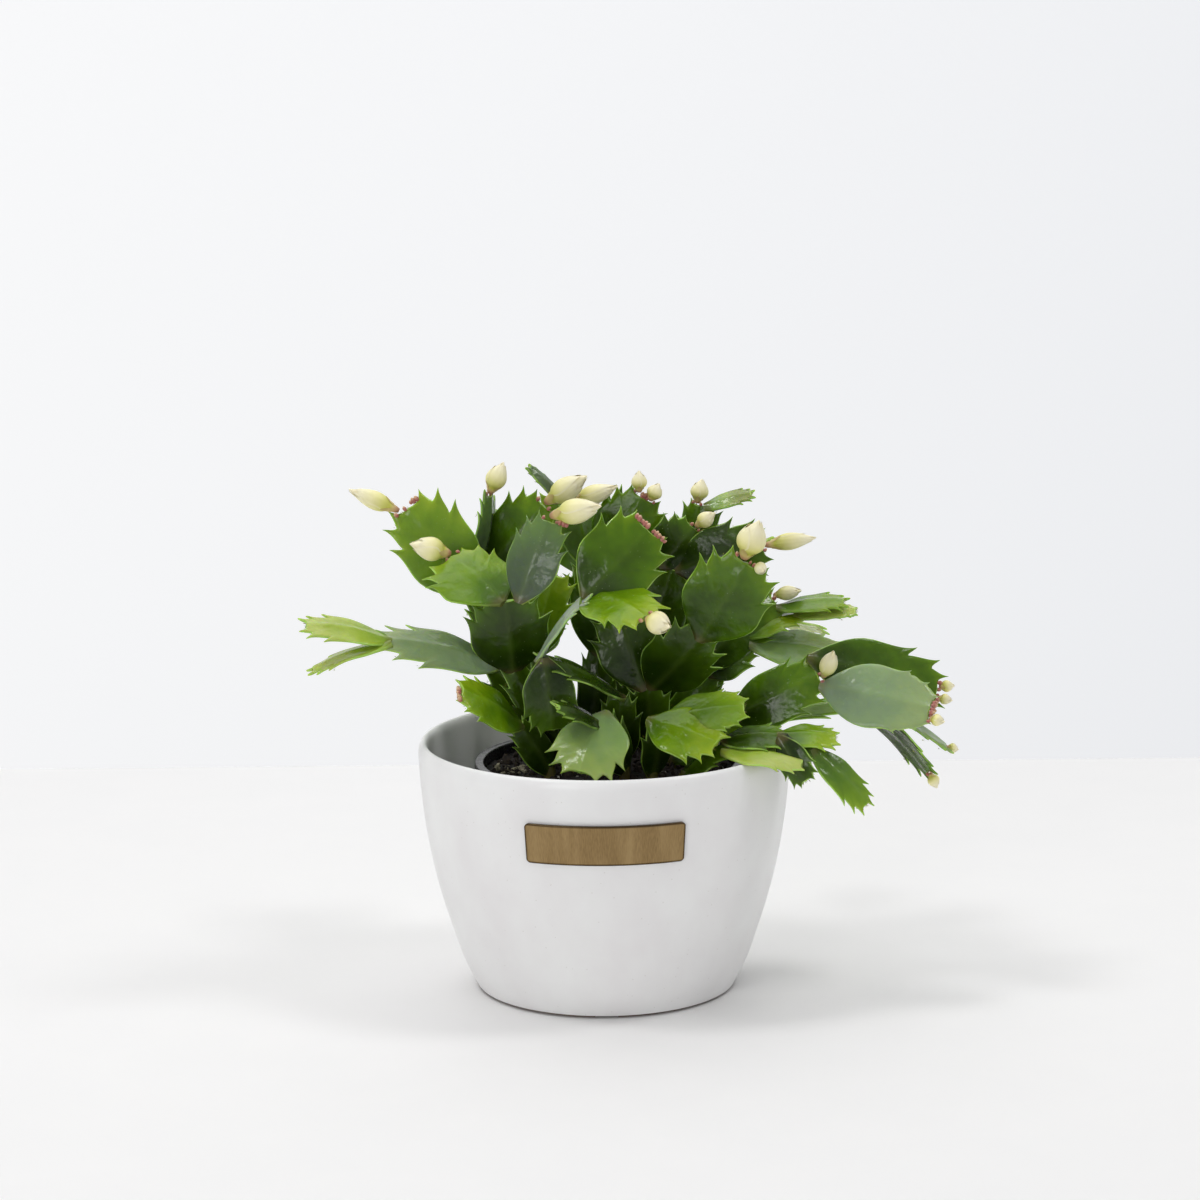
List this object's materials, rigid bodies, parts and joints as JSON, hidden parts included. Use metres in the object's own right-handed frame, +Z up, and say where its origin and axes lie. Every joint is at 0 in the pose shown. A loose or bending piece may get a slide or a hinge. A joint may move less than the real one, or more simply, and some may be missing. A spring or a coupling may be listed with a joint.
{
  "type": "potted christmas cactus",
  "caption": "Holiday cactus in bud: flat toothed segments arching from a black nursery pot inside a white glazed cachepot with a small bare brass plaque.",
  "frame": {"origin": "centre of the cachepot's flat underside, on the table", "axes": "+Z up along the cachepot's axis, -Y towards the plaque and the viewer, +X to the viewer's right"},
  "size_m": [0.263, 0.1841, 0.2088],
  "materials": {
    "white_glaze": "white satin glaze",
    "antique_brass": "brushed antique brass with darker edges",
    "black_plastic": "thin satin black moulded plastic",
    "potting_mix": "dark crumbly peat with bark and light grit",
    "cactus_green": "waxy glossy green stem segments with paler edges",
    "bud_cream": "satin cream petals with a pink-brown base"
  },
  "bodies": {
    "root": {"cachepot": "white_glaze", "plaque": "antique_brass", "nursery_pot": "black_plastic", "soil": "potting_mix", "stem_left": "cactus_green", "stem_left_bud_1": "bud_cream", "stem_left_front": "cactus_green", "stem_left_front_bud_1": "bud_cream", "stem_left_front_bud_2": "bud_cream", "stem_left_back": "cactus_green", "stem_left_back_bud_1": "bud_cream", "stem_left_back_bud_2": "bud_cream", "stem_centre": "cactus_green", "stem_centre_bud_1": "bud_cream", "stem_centre_right": "cactus_green", "stem_centre_right_bud_1": "bud_cream", "stem_centre_right_bud_2": "bud_cream", "stem_arching": "cactus_green", "stem_front_left": "cactus_green", "stem_right": "cactus_green", "stem_right_bud_1": "bud_cream", "stem_right_bud_2": "bud_cream", "stem_right_bud_3": "bud_cream", "stem_right_bud_4": "bud_cream", "stem_right_low": "cactus_green", "stem_right_low_bud_1": "bud_cream", "stem_right_low_bud_2": "bud_cream", "stem_front": "cactus_green", "stem_front_right": "cactus_green", "stem_right_back": "cactus_green", "stem_right_back_bud_1": "bud_cream", "stem_top_right": "cactus_green", "stem_top_right_bud_1": "bud_cream", "stem_top_right_bud_2": "bud_cream", "stem_top": "cactus_green", "stem_top_bud_1": "bud_cream", "stem_top_bud_2": "bud_cream", "stem_top_bud_3": "bud_cream", "stem_back_top": "cactus_green", "stem_back_top_bud_1": "bud_cream", "stem_back_left": "cactus_green", "stem_back": "cactus_green", "stem_back_right": "cactus_green"}
  },
  "joints": []
}
